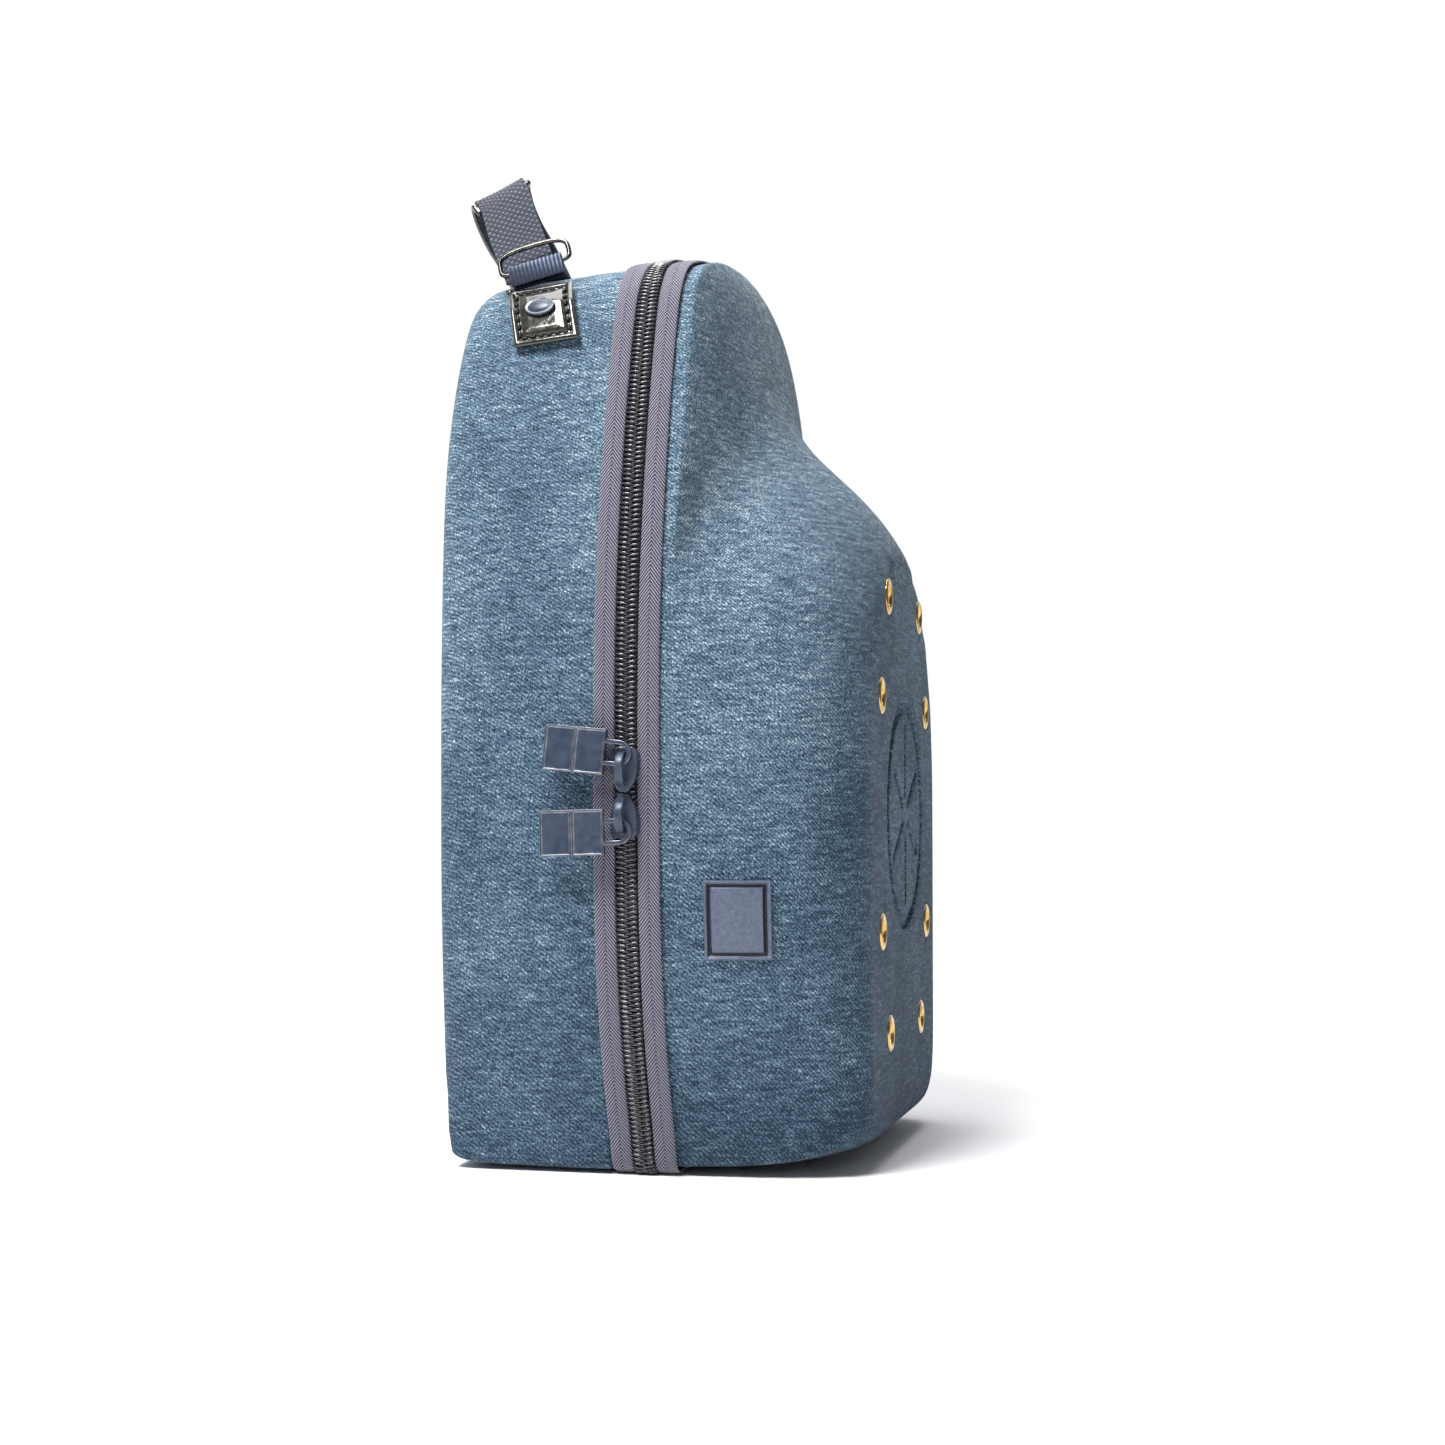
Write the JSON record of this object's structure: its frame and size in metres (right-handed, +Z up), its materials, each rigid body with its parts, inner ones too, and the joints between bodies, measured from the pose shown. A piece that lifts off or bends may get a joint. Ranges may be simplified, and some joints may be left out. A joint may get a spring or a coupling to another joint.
{
  "type": "baseball cap carrier case",
  "caption": "Moulded hard case in blue-grey denim for carrying caps: cap-shaped front shell with a sunk emblem, flat back shell, zip round the edge and top handle.",
  "frame": {"origin": "middle of the width, in the plane of the zip, at the level the case stands on", "axes": "+Z up from the standing edge to the handle; -Y to the cap-shaped front, +Y to the flat back; -X to the side with the zip sliders"},
  "size_m": [0.2484, 0.1643, 0.3789],
  "materials": {
    "denim": "blue-grey denim twill bonded to moulded foam",
    "zip_tape": "mauve-grey herringbone zip tape",
    "zip_coil": "near-black nylon coil teeth",
    "rubber_patch": "slate-navy moulded rubber",
    "zip_metal": "navy enamel with bright edges",
    "tab_leather": "black patent leather, stitched",
    "grip_leather": "glossy black lining of the handle",
    "rivet_metal": "navy enamel",
    "ribbed_strap": "navy ribbed strap",
    "ring_metal": "dark polished wire",
    "webbing": "navy and grey basket-weave webbing",
    "eyelet_brass": "bright brass"
  },
  "bodies": {
    "case": {"back_shell": "denim", "front_shell": "denim", "hinge_panel": "denim", "back_tape": "zip_tape", "front_tape": "zip_tape", "zip_coil": "zip_coil", "side_patch": "rubber_patch", "upper_slider": "zip_metal", "lower_slider": "zip_metal", "near_tab": "tab_leather", "far_tab": "tab_leather", "near_rivet": "rivet_metal", "far_rivet": "rivet_metal", "near_keeper": "ribbed_strap", "far_keeper": "ribbed_strap", "near_ring": "ring_metal", "far_ring": "ring_metal", "handle_webbing": "webbing", "handle_grip": "grip_leather", "eyelet_1": "eyelet_brass", "eyelet_2": "eyelet_brass", "eyelet_3": "eyelet_brass", "eyelet_4": "eyelet_brass", "eyelet_5": "eyelet_brass", "eyelet_6": "eyelet_brass", "eyelet_7": "eyelet_brass", "eyelet_8": "eyelet_brass"},
    "upper_pull_body": {"upper_pull": "zip_metal"},
    "lower_pull_body": {"lower_pull": "zip_metal"}
  },
  "joints": [
    {"name": "upper_pull_swing", "type": "hinge", "parent": "case", "child": "upper_pull_body", "pos_m": [-0.1247, 0, 0.1495], "axis": [1, 0, 0], "range_deg": [0, 180]},
    {"name": "lower_pull_swing", "type": "hinge", "parent": "case", "child": "lower_pull_body", "pos_m": [-0.1247, 0, 0.1225], "axis": [-1, 0, 0], "range_deg": [0, 180]}
  ]
}
